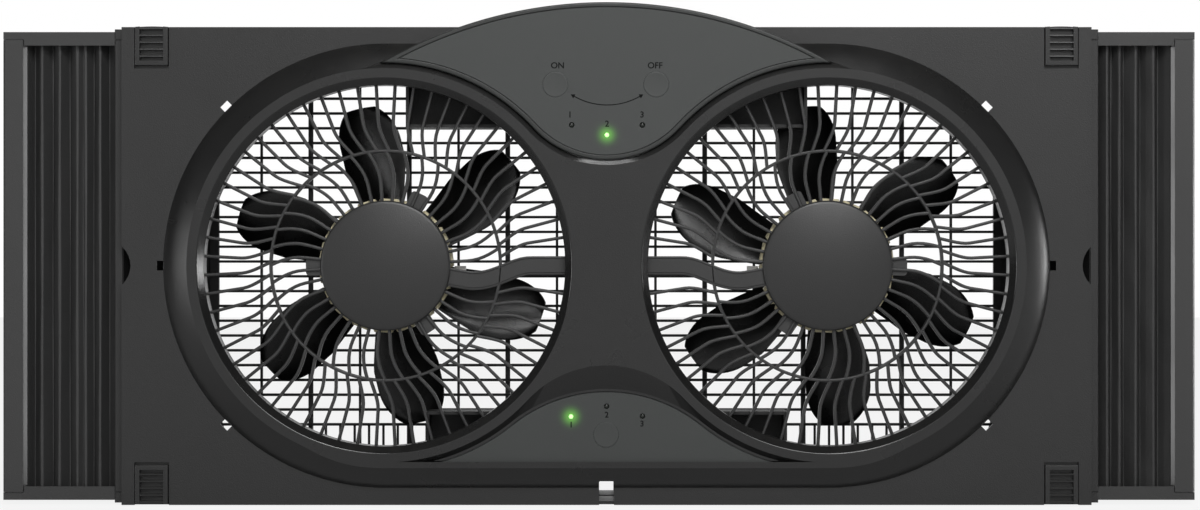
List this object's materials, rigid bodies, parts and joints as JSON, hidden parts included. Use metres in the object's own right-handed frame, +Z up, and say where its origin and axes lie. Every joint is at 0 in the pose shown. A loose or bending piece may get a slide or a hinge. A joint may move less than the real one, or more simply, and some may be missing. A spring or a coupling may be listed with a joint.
{
  "type": "window fan",
  "caption": "Flat twin window fan with swirl grilles, crown-shaped control panel, function panel and pleated side panels that slide out.",
  "frame": {"origin": "on the sill plane, midway between the two drawn-out end bars and midway through the depth", "axes": "+X along the window to the right seen from the room, +Y from the room to the outside, +Z up"},
  "size_m": [0.7606, 0.11, 0.319],
  "materials": {
    "charcoal_plastic": "fine satin charcoal moulding",
    "panel_plastic": "satin charcoal moulding",
    "overlay": "smooth satin film, faintly green grey",
    "grille_plastic": "fine satin charcoal moulding",
    "black_plastic": "plain black moulding",
    "impeller_plastic": "glossy black moulding",
    "pleated_vinyl": "folded flexible sheet, satin",
    "rubber": "matte black",
    "zinc": "zinc plated",
    "motor_steel": "plain pressed steel",
    "shaft_steel": "ground steel",
    "winding_cage": "cream moulded coil cage",
    "white_plastic": "white moulded plug",
    "board": "green circuit board",
    "lamp_lit": "green lamp, lit",
    "lamp_unlit": "small dark lamp lens"
  },
  "bodies": {
    "housing": {"front_shell": "charcoal_plastic", "front_bezel": "charcoal_plastic", "rear_shell": "charcoal_plastic", "rear_guard": "black_plastic", "cord_inlet": "rubber", "left_case_screw_1": "zinc", "left_case_screw_2": "zinc", "left_case_screw_3": "zinc", "right_case_screw_1": "zinc", "right_case_screw_2": "zinc", "right_case_screw_3": "zinc", "top_control_panel": "panel_plastic", "top_panel_cover": "black_plastic", "top_overlay": "overlay", "function_panel": "panel_plastic", "function_overlay": "overlay", "speed_lamp_1": "lamp_unlit", "speed_lamp_2": "lamp_lit", "speed_lamp_3": "lamp_unlit", "function_lamp_1": "lamp_lit", "function_lamp_2": "lamp_unlit", "function_lamp_3": "lamp_unlit", "control_board": "board", "function_board": "board", "top_wiring_box": "black_plastic", "bottom_wiring_box": "black_plastic", "left_front_grille": "grille_plastic", "left_hub_cap": "grille_plastic", "left_motor": "motor_steel", "left_winding": "winding_cage", "left_connector": "white_plastic", "right_front_grille": "grille_plastic", "right_hub_cap": "grille_plastic", "right_motor": "motor_steel", "right_winding": "winding_cage", "right_connector": "white_plastic", "left_curtain": "pleated_vinyl", "left_side_channel": "charcoal_plastic", "right_curtain": "pleated_vinyl", "right_side_channel": "charcoal_plastic"},
    "left_side_panel": {"left_end_bar": "charcoal_plastic", "left_upper_rail": "charcoal_plastic", "left_lower_rail": "charcoal_plastic"},
    "right_side_panel": {"right_end_bar": "charcoal_plastic", "right_upper_rail": "charcoal_plastic", "right_lower_rail": "charcoal_plastic"},
    "left_fan": {"left_impeller": "impeller_plastic", "left_motor_shaft": "shaft_steel", "left_impeller_nut": "black_plastic"},
    "right_fan": {"right_impeller": "impeller_plastic", "right_motor_shaft": "shaft_steel", "right_impeller_nut": "black_plastic"},
    "speed_push": {"speed_button": "overlay"},
    "off_push": {"off_button": "overlay"},
    "function_push": {"function_button": "overlay"},
    "left_upper_catch": {"left_upper_lock": "charcoal_plastic"},
    "left_lower_catch": {"left_lower_lock": "charcoal_plastic"},
    "right_upper_catch": {"right_upper_lock": "charcoal_plastic"},
    "right_lower_catch": {"right_lower_lock": "charcoal_plastic"}
  },
  "joints": [
    {"name": "left_panel_slide", "type": "slide", "parent": "housing", "child": "left_side_panel", "axis": [1, 0, 0], "range_m": [0, 0.0462], "deforming": ["left_curtain"]},
    {"name": "right_panel_slide", "type": "slide", "parent": "housing", "child": "right_side_panel", "axis": [-1, 0, 0], "range_m": [0, 0.0366], "deforming": ["right_curtain"]},
    {"name": "left_fan_spin", "type": "hinge", "parent": "housing", "child": "left_fan", "pos_m": [-0.1357, 0.0108, 0.152], "axis": [0, 1, 0], "continuous": true},
    {"name": "right_fan_spin", "type": "hinge", "parent": "housing", "child": "right_fan", "pos_m": [0.1453, 0.0108, 0.152], "axis": [0, 1, 0], "continuous": true},
    {"name": "speed_button_press", "type": "slide", "parent": "housing", "child": "speed_push", "axis": [0, 1, 0], "range_m": [0, 0.001], "stiffness_N_per_m": 600, "springref_m": -0.0005},
    {"name": "off_button_press", "type": "slide", "parent": "housing", "child": "off_push", "axis": [0, 1, 0], "range_m": [0, 0.001], "stiffness_N_per_m": 600, "springref_m": -0.0005},
    {"name": "function_button_press", "type": "slide", "parent": "housing", "child": "function_push", "axis": [0, 1, 0], "range_m": [0, 0.001], "stiffness_N_per_m": 600, "springref_m": -0.0005},
    {"name": "left_upper_lock_press", "type": "slide", "parent": "housing", "child": "left_upper_catch", "axis": [0, 0, -1], "range_m": [0, 0.0014], "stiffness_N_per_m": 900, "springref_m": -0.0008},
    {"name": "left_lower_lock_press", "type": "slide", "parent": "housing", "child": "left_lower_catch", "axis": [0, 0, 1], "range_m": [0, 0.0014], "stiffness_N_per_m": 900, "springref_m": -0.0008},
    {"name": "right_upper_lock_press", "type": "slide", "parent": "housing", "child": "right_upper_catch", "axis": [0, 0, -1], "range_m": [0, 0.0014], "stiffness_N_per_m": 900, "springref_m": -0.0008},
    {"name": "right_lower_lock_press", "type": "slide", "parent": "housing", "child": "right_lower_catch", "axis": [0, 0, 1], "range_m": [0, 0.0014], "stiffness_N_per_m": 900, "springref_m": -0.0008}
  ]
}
